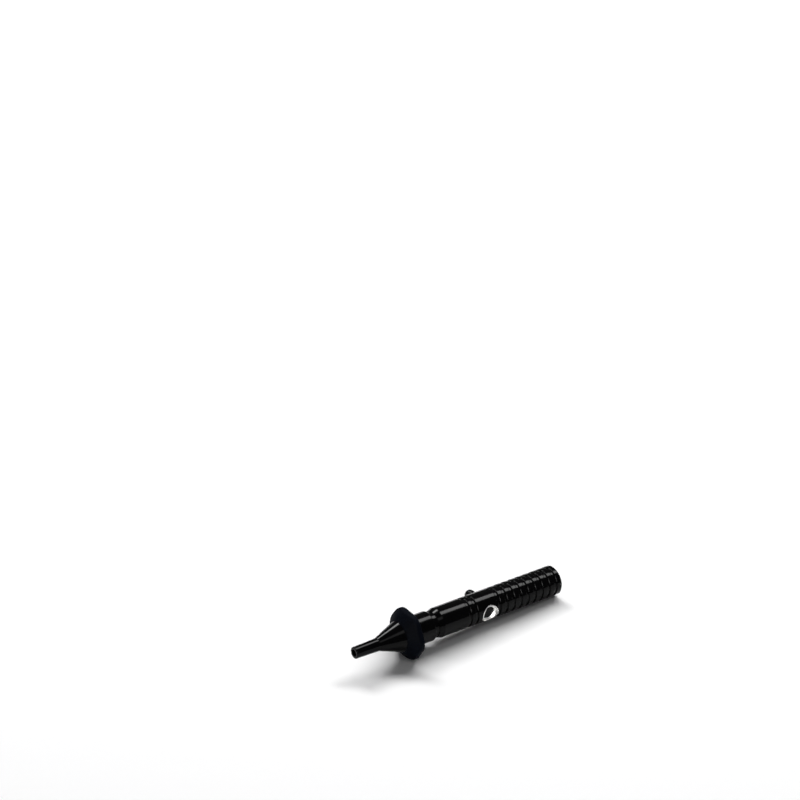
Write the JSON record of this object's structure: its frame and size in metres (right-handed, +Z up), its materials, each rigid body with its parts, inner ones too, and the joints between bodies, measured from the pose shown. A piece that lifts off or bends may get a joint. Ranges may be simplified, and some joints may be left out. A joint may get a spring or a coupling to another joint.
{
  "type": "smt pick up nozzle",
  "caption": "Black vacuum pick-up nozzle lying on a table: grooved shank with a cross pin and bright port, hexagonal flange with rounded corners, cone and slim tube tip.",
  "frame": {"origin": "centre of the lying nozzle's bounding box, on the table that it lies on", "axes": "+X along the nozzle from the tip to the spindle end, seen from above, +Y to the side of the cross pin's domed end, +Z up; the nozzle's own axis dips 3.02 degrees below +X"},
  "size_m": [0.0482, 0.0104, 0.0097],
  "materials": {
    "black_gloss": "gloss black coating on steel",
    "black_pin": "black coating on steel",
    "bright_steel": "bright turned steel",
    "black_matt": "matt blue-black"
  },
  "bodies": {
    "root": {"shank": "black_gloss", "cross_pin": "black_pin", "port_ring": "bright_steel", "flange": "black_matt", "tip": "black_gloss"}
  },
  "joints": []
}
